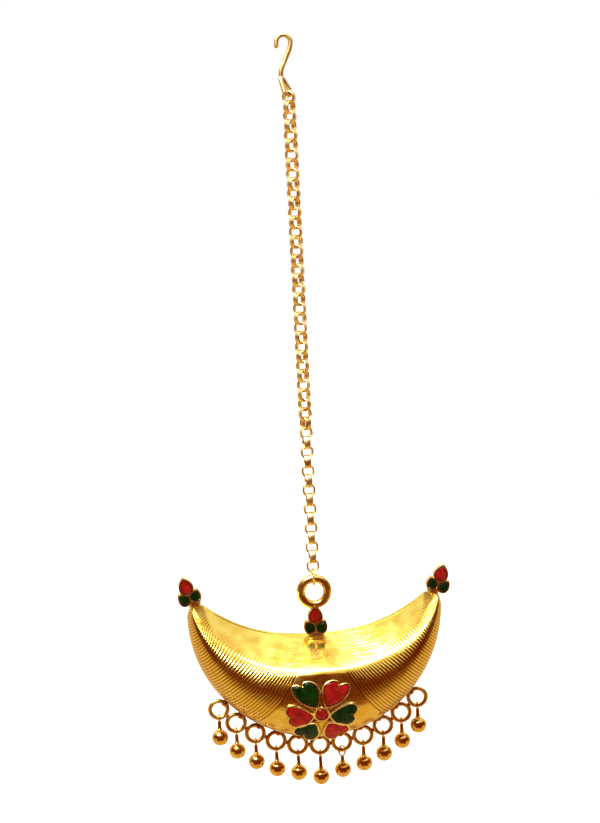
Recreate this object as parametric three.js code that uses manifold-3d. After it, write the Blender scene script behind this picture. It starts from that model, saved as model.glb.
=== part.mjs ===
// Maang tikka: a hair hook, a fine link chain, and a hollow crescent pendant that hangs from a bail
// ring and carries enamel settings and eleven ball drops.
// Millimetres. +Z up, +X to the right seen from the front, -Y the front.
// Origin: inside top of the hook's crook, where the hook hangs in the hair.

import * as THREE from 'three';
import { mergeVertices } from 'three/addons/utils/BufferGeometryUtils.js';
import Module from 'manifold-3d';

const wasm = await Module();
wasm.setup();

// ---- driving dimensions ----
const WIRE_HOOK = 0.9;           // diameter of the hook's wire
const CROOK_R = 1.32;            // centre-line radius of the crook
const CROOK_X = -0.5;            // crook's centre beside the point it hangs from
const EYE_R = 1.0;               // centre-line end radius of the hook's eye
const EYE_STRETCH = 1.6;         // straight length added to the eye
const EYE_BOTTOM_X = 0.05;       // centre of the eye's lowest wire
const EYE_BOTTOM_Z = -10.6;
const EYE_TURN = 62;             // degrees the eye is turned about its length
const EYE_LEAN = 22;             // degrees the eye leans across
const STEM_RUN = [[0.62, -1.9], [0.09, -3.14], [-0.51, -4.46], [-1.12, -5.8], [-1.3, -7.0]];
const LINK_R = 1.06;             // centre-line radius of a chain link
const LINK_WIRE = 0.36;          // diameter of the link wire
const CHAIN_D = 2.3;             // width over the chain
const FIT = 0.08;                // play between two linked wires
const END_R = 1.425;             // centre-line radius of the end link
const END_WIRE = 0.45;
const HINGE_Z = -101.27;         // centre of the bail ring's top wire
const HANG = 8.0;                // degrees the pendant leans as it hangs, foot backwards
const BAIL_R = 2.53;             // centre-line radius of the bail ring
const BAIL_WIRE = 1.6;
const BAIL_DEPTH = 1.2;          // bail ring centre in front of the pendant's back
const ARC_H = 3.76;              // centre of the crescent's outer arc, below the bail ring centre
const ARC_RX = 24.1;             // outer edge, half width
const ARC_RZ = 24.8;             // outer edge, from arc centre to lowest point
const NOTCH_H = 4.585;           // inner edge below the arc centre, in the middle
const NOTCH_RISE = 7.0;          // how far the inner edge climbs to the horn tip
const NOTCH_X = 21.3;            // where it has climbed that far
const NOTCH_POW = 2.5;
const HORN_END = 95.5;           // degrees from straight down to the horn's end
const TIP_OUT = 2.2;             // ridge height above the back at the horn's end
const RIDGE_OUT = 8.8;           // further ridge height in the middle
const WALL = 0.65;               // sheet thickness
const CAVITY_END = 80;           // degrees the hollow reaches
const VENTS = [-66, -44, -22, 22, 44, 66];
const VENT_D = 2.4;
const RING_COUNT = 11;
const RING_STEP = 9.25;          // degrees
const RING_R = 1.66;             // centre-line radius of an edge ring
const RING_WIRE = 0.78;
const RING_DEPTH = 0.35;         // ring centre in front of the back
const RING_RX = 26.2;
const RING_RZ = 26.7;
const DROP_LOOP_R = 0.62;
const DROP_LOOP_WIRE = 0.36;
const BALL_R = 1.56;
const BALL_BELOW = 3.75;         // ball centre below the ring wire it hangs on
const LONG_BELOW = 4.5;         // the same for the sixth drop, which has a longer stem
const STEM_R = 0.3;
const NECK_R = 0.52;
const PLAY = 0.1;                // gap between enamel and its bezel
const BEZEL = 0.36;              // bezel wall of the flower
const SMALL_BEZEL = 0.3;         // bezel wall of the small settings
const FLOWER_T = 0.605;          // place of the flower's centre along the middle section
const FLOWER_X = -0.35;         // the flower sits a little left of the middle
const HEART_L = 4.6;
const HEART_W = 4.15;
const HEARTS = [
  { name: 'green_heart_upper_left', turn: 32, reach: 4.4, scale: 1.06, green: true },
  { name: 'red_heart_upper_right', turn: -32, reach: 4.4, scale: 1.06, green: false },
  { name: 'green_heart_right', turn: -103, reach: 4.1, scale: 1, green: true },
  { name: 'red_heart_lower_right', turn: -151, reach: 4.95, scale: 1, green: false },
  { name: 'green_heart_lower_left', turn: 151, reach: 4.95, scale: 1, green: true },
  { name: 'red_heart_left', turn: 103, reach: 4.1, scale: 1, green: false },
];
const CENTRE_R = 1.08;           // round stone in the flower
const CROWN_H = 5.6;             // crown setting below the bail ring centre
const CROWN_BACK = 0.8;          // back of the crown plate in front of the pendant's back
const TIP_X = 23.8;              // tip settings
const TIP_H = -1.0;
const LEFT_TIP_RISE = 0.4;       // the left one is soldered a little higher
const TIP_LEAN = 17;             // degrees the tip settings lean outwards
const TIP_BACK = 0.5;
const PLATE = 1.0;               // plate thickness of the small settings
const RIM = 0.5;                 // rim height above the floor

const rad = THREE.MathUtils.degToRad;

const gold = (name, roughness) => new THREE.MeshStandardMaterial({ name, color: '#d9a331', roughness, metalness: 1 });
const goldBody = gold('gold_plated_sheet', 0.24);
const goldBall = gold('gold_plated_balls', 0.2);
const goldWire = gold('gold_plated_wire', 0.22);
const goldLink = gold('gold_plated_link', 0.22);
const goldChain = gold('gold_plated_chain', 0.25);
const redEnamel = new THREE.MeshStandardMaterial({ name: 'red_enamel', color: '#a81a22', roughness: 0.12, metalness: 0 });
const greenEnamel = new THREE.MeshStandardMaterial({ name: 'green_enamel', color: '#12320f', roughness: 0.12, metalness: 0 });

// ---- solids and booleans ----
function toSolid(geometry) {
  const bare = geometry.index ? geometry.toNonIndexed() : geometry.clone();
  bare.deleteAttribute('normal');
  bare.deleteAttribute('uv');
  const merged = mergeVertices(bare, 1e-4);
  const points = new Float32Array(merged.attributes.position.array);
  const faces = [];
  const index = merged.index.array;
  for (let i = 0; i < index.length; i += 3) {
    const [a, b, c] = [index[i], index[i + 1], index[i + 2]];
    if (a !== b && b !== c && c !== a) faces.push(a, b, c);
  }
  const mesh = new wasm.Mesh({ numProp: 3, vertProperties: points, triVerts: new Uint32Array(faces) });
  return new wasm.Manifold(mesh);
}

// A solid from a point list and triangles, turned outwards where needed.
function closedSolid(points, faces) {
  const build = (list) => new wasm.Manifold(new wasm.Mesh({
    numProp: 3, vertProperties: new Float32Array(points), triVerts: new Uint32Array(list),
  }));
  const solid = build(faces);
  if (solid.volume() > 0) return solid;
  const turned = [];
  for (let i = 0; i < faces.length; i += 3) {
    turned.push(faces[i], faces[i + 2], faces[i + 1]);
  }
  return build(turned);
}

function toGeometry(solid) {
  const mesh = solid.getMesh();
  const geometry = new THREE.BufferGeometry();
  geometry.setAttribute('position', new THREE.BufferAttribute(new Float32Array(mesh.vertProperties), 3));
  geometry.setIndex(new THREE.BufferAttribute(new Uint32Array(mesh.triVerts), 1));
  geometry.computeVertexNormals();
  return geometry;
}

function addAll(solids) {
  let whole = solids[0];
  for (let i = 1; i < solids.length; i += 1) {
    whole = whole.add(solids[i]);
  }
  return whole;
}

function placed(geometry, matrix) {
  return toSolid(geometry.clone().applyMatrix4(matrix));
}

function moveTurn(x, y, z, rx = 0, ry = 0, rz = 0) {
  const turn = new THREE.Quaternion().setFromEuler(new THREE.Euler(rad(rx), rad(ry), rad(rz)));
  return new THREE.Matrix4().compose(new THREE.Vector3(x, y, z), turn, new THREE.Vector3(1, 1, 1));
}

// A point of the pendant: x across, d in front of its back, h below the bail ring's centre.
// The pendant's own origin is the centre of the bail ring's top wire.
function onPendant(x, d, h) {
  return new THREE.Vector3(x, BAIL_DEPTH - d, -(h + BAIL_R));
}

// A closed skin over a grid of points: rows[i][j], j running round a closed section.
function loftSolid(rows) {
  const points = [];
  const faces = [];
  const n = rows.length;
  const m = rows[0].length;
  for (const row of rows) {
    for (const p of row) points.push(p.x, p.y, p.z);
  }
  for (let i = 0; i + 1 < n; i += 1) {
    for (let j = 0; j < m; j += 1) {
      const k = (j + 1) % m;
      faces.push(i * m + j, (i + 1) * m + j, (i + 1) * m + k);
      faces.push(i * m + j, (i + 1) * m + k, i * m + k);
    }
  }
  for (const [row, flip] of [[0, false], [n - 1, true]]) {
    const middle = rows[row].reduce((sum, p) => sum.add(p), new THREE.Vector3()).divideScalar(m);
    const hub = points.length / 3;
    points.push(middle.x, middle.y, middle.z);
    for (let j = 0; j < m; j += 1) {
      const k = (j + 1) % m;
      faces.push(hub, row * m + (flip ? k : j), row * m + (flip ? j : k));
    }
  }
  return closedSolid(points, faces);
}

// ---- crescent ----
function innerRadius(angle) {
  const s = Math.sin(Math.abs(angle));
  const c = Math.cos(angle);
  let low = 3;
  let high = 26;
  for (let i = 0; i < 40; i += 1) {
    const r = (low + high) / 2;
    const above = r * c - NOTCH_H + NOTCH_RISE * (r * s / NOTCH_X) ** NOTCH_POW;
    if (above > 0) high = r;
    else low = r;
  }
  return low;
}

function outerRadius(angle) {
  return 1 / Math.hypot(Math.sin(angle) / ARC_RX, Math.cos(angle) / ARC_RZ);
}

function ridgeAcross(angle) {
  return 0.216 + 0.454 * (angle / rad(94.2)) ** 2;
}

function ridgeHeight(angle) {
  return TIP_OUT + RIDGE_OUT * Math.max(1 - (angle / rad(97)) ** 2, 0) ** 0.8;
}

// Place across the crescent (0 inner edge, 1 outer edge) and height above the back, for t from 0 to 1.
function sectionAt(angle, t) {
  const a = ridgeAcross(angle);
  const out = ridgeHeight(angle);
  const b = 1 - a;
  const ctrl = [
    [0, 0], [0, 0], [0, 0], [0.5 * a, 0.55 * out], [0.96 * a, 1.03 * out], [a + 0.03 * b, 1.06 * out],
    [a + 0.34 * b, 1.19 * out], [a + 0.68 * b, 1.03 * out], [a + 0.93 * b, 0.55 * out], [1, 0], [1, 0], [1, 0],
  ];
  const spans = ctrl.length - 3;
  const s = Math.min(Math.max(t, 0) * spans, spans - 1e-9);
  const i = Math.floor(s);
  const f = s - i;
  const w = [(1 - f) ** 3 / 6, (3 * f ** 3 - 6 * f ** 2 + 4) / 6, (-3 * f ** 3 + 3 * f ** 2 + 3 * f + 1) / 6, f ** 3 / 6];
  const at = [0, 0];
  for (let k = 0; k < 4; k += 1) {
    at[0] += w[k] * ctrl[i + k][0];
    at[1] += w[k] * ctrl[i + k][1];
  }
  return at;
}

function crescentPoint(angle, across, out) {
  const inner = innerRadius(angle);
  const r = inner + (outerRadius(angle) - inner) * across;
  return onPendant(r * Math.sin(angle), out, ARC_H + r * Math.cos(angle));
}

function crescentSkin() {
  const rows = [];
  const steps = 52;
  const around = 16;
  for (let i = 0; i <= steps; i += 1) {
    const angle = rad(HORN_END) * (2 * i / steps - 1);
    const row = [];
    for (let j = 0; j <= around; j += 1) {
      const [across, out] = sectionAt(angle, j / around);
      row.push(crescentPoint(angle, across, out));
    }
    rows.push(row);
  }
  return loftSolid(rows);
}

// The hollow: the same section drawn in by the sheet's thickness.
function crescentHollow() {
  const rows = [];
  const steps = 24;
  const around = 9;
  for (let i = 0; i <= steps; i += 1) {
    const angle = rad(CAVITY_END) * (2 * i / steps - 1);
    const width = outerRadius(angle) - innerRadius(angle);
    const inset = 1 - 2.5 * WALL / width;
    const high = Math.max(...Array.from({ length: 21 }, (_, k) => sectionAt(angle, k / 20)[1]));
    const lower = (high - 2 * WALL) / high;
    const row = [];
    for (let j = 0; j <= around; j += 1) {
      const [across, out] = sectionAt(angle, j / around);
      row.push(crescentPoint(angle, 0.5 + (across - 0.5) * inset, WALL + out * lower));
    }
    rows.push(row);
  }
  return loftSolid(rows);
}

function vents() {
  return VENTS.map((degrees) => {
    const at = crescentPoint(rad(degrees), 0.5, 0);
    return placed(new THREE.CylinderGeometry(VENT_D / 2, VENT_D / 2, 3, 10), moveTurn(at.x, at.y, at.z));
  });
}

// ---- settings ----
// Outlines are lists of [x, y] about a centre; each is star shaped seen from that centre.
function heartOutline(scale, grow, count = 18) {
  const points = [];
  for (let i = 0; i < count; i += 1) {
    const t = Math.PI * (2 * (i + 0.5) / count);
    const blunt = Math.cos(t) > 0 ? 3 : 1.5;
    const x = Math.sign(Math.sin(t)) * Math.abs(Math.sin(t)) ** blunt * scale * HEART_W / 2;
    const y = (13 * Math.cos(t) - 5 * Math.cos(2 * t) - 2 * Math.cos(3 * t) - Math.cos(4 * t) + 2.5) * scale * HEART_L / 29;
    const r = Math.hypot(x, y);
    const k = 1 + grow / Math.max(r, 1e-6) * 1.12;
    points.push([x * k, y * k]);
  }
  return points;
}

function dropOutline(width, length, grow, count = 12) {
  const points = [];
  for (let i = 0; i < count; i += 1) {
    const t = 2 * Math.PI * i / count;
    const tip = Math.cos(t);
    const x = width / 2 * 1.285 * Math.sin(t) * Math.abs(Math.sin(t / 2)) ** 0.9;
    const y = length / 2 * tip;
    const r = Math.hypot(x, y);
    const k = 1 + grow / r;
    points.push([x * k, y * k]);
  }
  return points;
}

function roundOutline(radius, count = 12) {
  const points = [];
  for (let i = 0; i < count; i += 1) {
    const t = 2 * Math.PI * i / count;
    points.push([radius * Math.sin(t), radius * Math.cos(t)]);
  }
  return points;
}

// A cushion over an outline: flat or domed top, on any surface that `lay` describes.
// `midTop` and `midFoot` say whether the top and the foot have a ring of points half way in.
function cushion(outline, foot, rim, crown, lay, midTop = true, midFoot = false) {
  const n = outline.length;
  const points = [];
  const faces = [];
  const starts = [];
  for (const [top, mid] of [[true, midTop], [false, midFoot]]) {
    const start = points.length / 3;
    starts.push(start);
    const scales = mid ? [1, 0.62] : [1];
    for (const s of scales) {
      for (const [x, y] of outline) {
        const z = top ? rim + (crown - rim) * (1 - s * s) : foot;
        points.push(...lay(x * s, y * s, z).toArray());
      }
    }
    points.push(...lay(0, 0, top ? crown : foot).toArray());
    const inner = start + (mid ? n : 0);
    for (let i = 0; i < n; i += 1) {
      const k = (i + 1) % n;
      const fan = [inner + i, inner + n, inner + k];
      faces.push(...(top ? fan : fan.reverse()));
      if (mid) {
        const band = [[start + i, inner + i, inner + k], [start + i, inner + k, start + k]];
        for (const tri of band) faces.push(...(top ? tri : tri.reverse()));
      }
    }
  }
  for (let i = 0; i < n; i += 1) {
    const k = (i + 1) % n;
    faces.push(i, k, starts[1] + k, i, starts[1] + k, starts[1] + i);
  }
  return closedSolid(points, faces);
}

// Lays a flower piece on the crescent's front: u across, v up, z off the metal.
function frontPoint(u, v, z) {
  const step = 1e-3;
  const place = (across0, vv) => {
    const t = FLOWER_T - vv / SECTION_LENGTH;
    const [across, out] = sectionAt(0, t);
    const mid = crescentPoint(0, across, out);
    const r = -(mid.z + BAIL_R + ARC_H);
    const angle = across0 / r;
    const [a2, o2] = sectionAt(angle, t);
    return crescentPoint(angle, a2, o2);
  };
  const uu = u + FLOWER_X;
  const p = place(uu, v);
  const du = place(uu + step, v).sub(p);
  const dv = place(uu, v + step).sub(p);
  const normal = du.cross(dv).normalize();
  return p.addScaledVector(normal, z);
}

// Length of the middle section per unit of t, near the flower.
const SECTION_LENGTH = (() => {
  const at = (t) => {
    const [across, out] = sectionAt(0, t);
    return crescentPoint(0, across, out);
  };
  return at(FLOWER_T + 0.05).distanceTo(at(FLOWER_T - 0.05)) / 0.1;
})();

function heartLay(heart) {
  const c = Math.cos(rad(heart.turn));
  const s = Math.sin(rad(heart.turn));
  return (x, y, z) => {
    const out = y + heart.reach;
    return frontPoint(x * c - out * s, x * s + out * c, z);
  };
}

function flowerMetal() {
  const cups = [];
  const wells = [];
  for (const heart of HEARTS) {
    cups.push(cushion(heartOutline(heart.scale, PLAY + BEZEL), -0.4, 0.62, 0.62, heartLay(heart)));
    wells.push(cushion(heartOutline(heart.scale, PLAY), 0.12, 1.4, 1.4, heartLay(heart), false, true));
  }
  cups.push(cushion(roundOutline(CENTRE_R + PLAY + BEZEL), -0.4, 0.7, 0.7, frontPoint, false));
  wells.push(cushion(roundOutline(CENTRE_R + PLAY), 0.12, 1.4, 1.4, frontPoint, false));
  return { cups, wells };
}

// Three drops in one small setting; `lay` places its plane.
const TREFOIL = [
  { tag: 'red', x: 0, y: 1.25, turn: 0, width: 2.05, length: 2.75, green: false },
  { tag: 'green_left', x: -1.13, y: -1.1, turn: 30, width: 1.65, length: 2.1, green: true },
  { tag: 'green_right', x: 1.13, y: -1.1, turn: -30, width: 1.65, length: 2.1, green: true },
];

function stoneLay(stone, lay) {
  const c = Math.cos(rad(stone.turn));
  const s = Math.sin(rad(stone.turn));
  return (x, y, z) => lay(stone.x + x * c - y * s, stone.y + x * s + y * c, z);
}

function trefoilMetal(lay) {
  const cups = [];
  const wells = [];
  for (const stone of TREFOIL) {
    const at = stoneLay(stone, lay);
    cups.push(cushion(dropOutline(stone.width, stone.length, PLAY + SMALL_BEZEL), 0, PLATE + RIM, PLATE + RIM, at, false));
    wells.push(cushion(dropOutline(stone.width, stone.length, PLAY), PLATE, 3, 3, at, false));
  }
  return { cups, wells };
}

function uprightLay(x, h, back, lean) {
  const c = Math.cos(rad(lean));
  const s = Math.sin(rad(lean));
  return (px, py, pz) => onPendant(x + px * c + py * s, back + pz, h + px * s - py * c);
}

const CROWN_LAY = uprightLay(0, CROWN_H, CROWN_BACK, 0);
const LEFT_LAY = uprightLay(-TIP_X, TIP_H - LEFT_TIP_RISE, TIP_BACK, -TIP_LEAN);
const RIGHT_LAY = uprightLay(TIP_X, TIP_H, TIP_BACK, TIP_LEAN);

// ---- crescent body: all soldered metal is one solid ----
function ringCentre(i) {
  const angle = rad(RING_STEP) * (i - (RING_COUNT - 1) / 2);
  return onPendant(RING_RX * Math.sin(angle), RING_DEPTH, ARC_H + RING_RZ * Math.cos(angle));
}

function edgeRings() {
  const rings = [];
  for (let i = 0; i < RING_COUNT; i += 1) {
    const at = ringCentre(i);
    const torus = new THREE.TorusGeometry(RING_R, RING_WIRE / 2, 6, 14);
    rings.push(placed(torus, moveTurn(at.x, at.y, at.z, 90, 0, 0)));
    if (i + 1 < RING_COUNT) {
      const mid = at.clone().add(ringCentre(i + 1)).multiplyScalar(0.5);
      const bead = new THREE.SphereGeometry(0.34, 6, 4);
      rings.push(placed(bead, moveTurn(mid.x, mid.y - 0.02, mid.z)));
    }
  }
  return rings;
}

function solderFeet() {
  const feet = [];
  const foot = (x, d, h, w, t, l, lean) => {
    const at = onPendant(x, d, h);
    feet.push(placed(new THREE.BoxGeometry(w, t, l), moveTurn(at.x, at.y, at.z, 0, lean, 0)));
  };
  foot(0, 1.4, 8.45, 3.0, 1.1, 1.3, 0);
  foot(-22.5, 1.15, 1.2, 2.0, 1.2, 2.2, -10);
  foot(22.3, 1.15, 1.55, 2.0, 1.2, 1.5, 10);
  return feet;
}

function crescentBody() {
  const bail = new THREE.TorusGeometry(BAIL_R, BAIL_WIRE / 2, 8, 20);
  const bailAt = onPendant(0, BAIL_DEPTH, 0);
  const settings = [flowerMetal(), trefoilMetal(CROWN_LAY), trefoilMetal(LEFT_LAY), trefoilMetal(RIGHT_LAY)];
  let body = crescentSkin().subtract(crescentHollow());
  body = body.add(placed(bail, moveTurn(bailAt.x, bailAt.y, bailAt.z, 90, 0, 0)));
  body = body.add(addAll(edgeRings()));
  body = body.add(addAll(solderFeet()));
  for (const setting of settings) {
    body = body.add(addAll(setting.cups));
  }
  for (const setting of settings) {
    body = body.subtract(addAll(setting.wells));
  }
  return body.subtract(addAll(vents()));
}

// ---- enamels ----
function enamelMesh(name, outline, bottom, rim, crown, lay, green) {
  const mesh = new THREE.Mesh(toGeometry(cushion(outline, bottom, rim, crown, lay)));
  mesh.material = (green ? greenEnamel : redEnamel).clone();
  mesh.name = name;
  return mesh;
}

function flowerEnamels() {
  const meshes = HEARTS.map((heart) => (
    enamelMesh(heart.name, heartOutline(heart.scale, 0), 0.12 + PLAY, 0.55, 0.85, heartLay(heart), heart.green)
  ));
  const round = roundOutline(CENTRE_R);
  meshes.push(enamelMesh('flower_centre_stone', round, 0.12 + PLAY, 0.6, 1.0, frontPoint, false));
  return meshes;
}

function trefoilEnamels(prefix, lay) {
  return TREFOIL.map((stone) => enamelMesh(
    `${prefix}_${stone.tag}_stone`, dropOutline(stone.width, stone.length, 0),
    PLATE + PLAY, PLATE + RIM - 0.05, PLATE + RIM + 0.22, stoneLay(stone, lay), stone.green,
  ));
}

// ---- ball drops ----
// A ball with a flared neck, a stem and a wire loop round the ring; its origin is the ring's wire.
function dropGeometry(turn, loopR, loopStretch, play, below = BALL_BELOW) {
  const drop = loopStretch / 2 + loopR;
  const loopTop = RING_WIRE / 2 + play + DROP_LOOP_WIRE / 2;
  const loopFoot = loopTop - 2 * drop;
  const profile = [new THREE.Vector2(0, -below - BALL_R)];
  for (let i = 1; i <= 6; i += 1) {
    const a = Math.PI * i / 7.6;
    profile.push(new THREE.Vector2(BALL_R * Math.sin(a), -below - BALL_R * Math.cos(a)));
  }
  profile.push(new THREE.Vector2(NECK_R, -below + 1.5));
  profile.push(new THREE.Vector2(STEM_R + 0.04, -below + 1.95));
  profile.push(new THREE.Vector2(STEM_R, Math.max(loopFoot - 0.1, -below + 2.1)));
  profile.push(new THREE.Vector2(0, Math.max(loopFoot, -below + 2.2)));
  const body = placed(new THREE.LatheGeometry(profile, 11), moveTurn(0, 0, 0, 90, 0, 0));
  const loop = ovalRing(loopR, DROP_LOOP_WIRE / 2, loopStretch, 5, 10);
  return toGeometry(body.add(placed(loop, moveTurn(0, 0, loopTop - drop, 0, 0, turn))));
}

// A wire ring in the XZ plane, drawn out along Z by `stretch`.
function ovalRing(radius, wire, stretch, sides, steps) {
  const torus = new THREE.TorusGeometry(radius, wire, sides, steps);
  torus.rotateZ(Math.PI / steps);
  torus.rotateX(Math.PI / 2);
  const p = torus.attributes.position;
  for (let i = 0; i < p.count; i += 1) {
    p.setZ(i, p.getZ(i) + Math.sign(p.getZ(i)) * stretch / 2);
  }
  return torus;
}

function ballDrops() {
  const meshes = [];
  for (let i = 0; i < RING_COUNT; i += 1) {
    const open = i === 6;
    const below = i === 5 ? LONG_BELOW : BALL_BELOW;
    const shape = open ? dropGeometry(45, 0.92, 0.1, 0.2) : dropGeometry(90, DROP_LOOP_R, 0, 0.06, below);
    const at = ringCentre(i);
    const number = String(i + 1).padStart(2, '0');
    const mesh = new THREE.Mesh(shape);
    mesh.material = goldBall.clone();
    mesh.name = `ball_drop_${number}`;
    mesh.position.set(at.x, at.y, at.z - RING_R);
    mesh.rotation.x = rad(-HANG);
    meshes.push(mesh);
  }
  return meshes;
}

// ---- chain, end link and hook ----
function endLink() {
  const mesh = new THREE.Mesh(new THREE.TorusGeometry(END_R, END_WIRE / 2, 8, 20));
  mesh.geometry.rotateY(Math.PI / 2);
  mesh.geometry = toGeometry(toSolid(mesh.geometry));
  mesh.material = goldLink;
  mesh.name = 'end_link';
  mesh.position.z = HINGE_Z - BAIL_WIRE / 2 - FIT - END_WIRE / 2 + END_R;
  return mesh;
}

function tube(curve, radius, sides, steps) {
  const circle = new THREE.Shape(roundOutline(radius, sides).map(([x, y]) => new THREE.Vector2(x, y)));
  return toSolid(new THREE.ExtrudeGeometry(circle, { steps, extrudePath: curve, bevelEnabled: false }));
}

function chain() {
  const link = ovalRing(LINK_R, LINK_WIRE / 2, 0, 6, 14);
  const endTop = HINGE_Z - BAIL_WIRE / 2 - FIT - END_WIRE + 2 * END_R + END_WIRE / 2;
  const lowZ = endTop - END_WIRE / 2 - FIT - LINK_WIRE / 2 + LINK_R;
  const highZ = EYE_BOTTOM_Z + WIRE_HOOK / 2 + FIT + LINK_WIRE / 2 - LINK_R;
  const low = placed(link, moveTurn(0, 0, lowZ));
  const high = placed(link, moveTurn(0, 0, highZ, 0, 0, EYE_TURN - 90));
  const top = new THREE.Vector3(0, 0, highZ - LINK_R + 0.1);
  const foot = new THREE.Vector3(0, 0, lowZ + LINK_R - 0.1);
  const run = tube(new THREE.LineCurve3(top, foot), CHAIN_D / 2, 8, 16);
  const mesh = new THREE.Mesh(toGeometry(run.add(low).add(high)));
  mesh.material = goldChain;
  mesh.name = 'chain';
  return mesh;
}

function hook() {
  const inside = CROOK_R - WIRE_HOOK / 2;
  const crookZ = -Math.sqrt(inside ** 2 - CROOK_X ** 2);
  const path = [new THREE.Vector3(CROOK_X - CROOK_R - 0.03, 0, crookZ - 0.7)];
  for (let i = 0; i <= 6; i += 1) {
    const a = Math.PI * (1 - i / 6);
    path.push(new THREE.Vector3(CROOK_X + CROOK_R * Math.cos(a), 0, crookZ + CROOK_R * Math.sin(a)));
  }
  for (const [x, z] of STEM_RUN) {
    path.push(new THREE.Vector3(x, 0, z));
  }
  const stem = tube(new THREE.CatmullRomCurve3(path), WIRE_HOOK / 2, 8, 26);
  const eyeGeometry = ovalRing(EYE_R, WIRE_HOOK / 2, EYE_STRETCH, 8, 12);
  eyeGeometry.translate(0, 0, EYE_R + EYE_STRETCH / 2);
  eyeGeometry.rotateZ(rad(EYE_TURN));
  eyeGeometry.rotateY(rad(-EYE_LEAN));
  const eye = placed(eyeGeometry, moveTurn(EYE_BOTTOM_X, 0, EYE_BOTTOM_Z));
  const mesh = new THREE.Mesh(toGeometry(stem.add(eye)));
  mesh.material = goldWire;
  mesh.name = 'hook';
  return mesh;
}

// ---- assembly ----
const tikka = new THREE.Group();
tikka.name = 'maang_tikka';
tikka.add(hook(), chain(), endLink());

const pendant = new THREE.Group();
pendant.name = 'pendant_group';
pendant.position.z = HINGE_Z;
pendant.rotation.x = rad(HANG);
const body = new THREE.Mesh(toGeometry(crescentBody()));
body.material = goldBody;
body.name = 'crescent_body';
pendant.add(body);
pendant.add(...flowerEnamels());
pendant.add(...trefoilEnamels('crown', CROWN_LAY));
pendant.add(...trefoilEnamels('left_tip', LEFT_LAY));
pendant.add(...trefoilEnamels('right_tip', RIGHT_LAY));
pendant.add(...ballDrops());
tikka.add(pendant);

export default tikka;
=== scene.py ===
import math
import bpy
import numpy as np
from mathutils import Matrix, Vector


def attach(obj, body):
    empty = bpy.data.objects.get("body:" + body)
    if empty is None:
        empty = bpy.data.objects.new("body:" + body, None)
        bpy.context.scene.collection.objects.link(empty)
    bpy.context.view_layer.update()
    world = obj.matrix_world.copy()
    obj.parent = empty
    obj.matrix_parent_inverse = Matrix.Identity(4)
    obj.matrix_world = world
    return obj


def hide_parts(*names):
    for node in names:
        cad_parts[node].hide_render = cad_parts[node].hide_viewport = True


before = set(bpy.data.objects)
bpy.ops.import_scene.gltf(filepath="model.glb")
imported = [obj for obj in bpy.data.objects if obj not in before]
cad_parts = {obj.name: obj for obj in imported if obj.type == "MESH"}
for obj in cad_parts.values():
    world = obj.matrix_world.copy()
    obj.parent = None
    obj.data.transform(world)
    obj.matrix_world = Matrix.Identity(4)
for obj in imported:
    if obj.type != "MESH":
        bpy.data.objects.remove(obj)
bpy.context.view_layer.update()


# ---- Hook ----
# The hook is one length of 0.9 mm brass wire, bent over a peg to a small open crook that catches the
# hair, then closed to a long eye below. It is plated with yellow gold after bending.

MM = 0.001
WIRE_HOOK = 0.9
CROOK_R, CROOK_X = 1.32, -0.5
STEM_RUN = [(0.62, -1.9), (0.09, -3.14), (-0.51, -4.46), (-1.12, -5.8), (-1.3, -7.0)]
EYE_R, EYE_STRETCH = 1.0, 1.6
EYE_BOTTOM = (0.05, 0.0, -10.6)
EYE_TURN, EYE_LEAN, EYE_SPREAD, EYE_TAPER = 52.0, 22.0, 1.15, 0.75
WIRE_SIDES = 18


def unit(v):
    return v / np.maximum(np.linalg.norm(v, axis=-1, keepdims=True), 1e-12)


def smooth_path(points, per_span=10):
    """A Catmull-Rom line through the given points."""
    p = np.asarray(points, float)
    p = np.vstack([2 * p[0] - p[1], p, 2 * p[-1] - p[-2]])
    out = []
    for i in range(1, len(p) - 2):
        for f in np.linspace(0, 1, per_span, endpoint=False):
            a, b, c, d = p[i - 1], p[i], p[i + 1], p[i + 2]
            out.append(0.5 * (2 * b + (c - a) * f + (2 * a - 5 * b + 4 * c - d) * f ** 2
                              + (3 * b - a - 3 * c + d) * f ** 3))
    out.append(p[-2])
    return np.array(out)


def sweep(path, radius, sides=WIRE_SIDES, closed=False):
    """Round wire along a path: points and faces. Open ends are rounded off."""
    path = np.asarray(path, float)
    radii = np.full(len(path), float(radius))
    if closed:
        tangent = unit(np.roll(path, -1, 0) - np.roll(path, 1, 0))
    else:
        first, last = unit(path[1] - path[0]), unit(path[-1] - path[-2])
        rounds = np.radians([80, 55, 28])
        head = [path[0] - first * radius * math.sin(a) for a in rounds]
        tail = [path[-1] + last * radius * math.sin(a) for a in rounds[::-1]]
        ends = [radius * math.cos(a) for a in rounds]
        path = np.vstack([head, path, tail])
        radii = np.concatenate([ends, radii, ends[::-1]])
        tangent = unit(np.gradient(path, axis=0))
    side = np.cross(tangent[0], (0.0, 1.0, 0.0))
    if np.linalg.norm(side) < 0.2:
        side = np.cross(tangent[0], (1.0, 0.0, 0.0))
    side = unit(side)
    angles = np.linspace(0, 2 * np.pi, sides, endpoint=False)
    points = []
    for at, along, r in zip(path, tangent, radii):
        side = unit(side - along * side.dot(along))
        other = np.cross(along, side)
        points.append(at + r * (np.cos(angles)[:, None] * side + np.sin(angles)[:, None] * other))
    points = np.vstack(points)
    faces = []
    count = len(path)
    for i in range(count if closed else count - 1):
        n = (i + 1) % count
        for j in range(sides):
            k = (j + 1) % sides
            faces.append((i * sides + j, i * sides + k, n * sides + k, n * sides + j))
    if not closed:
        faces.append(tuple(range(sides))[::-1])
        faces.append(tuple(range((count - 1) * sides, count * sides)))
    return points, faces


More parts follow.
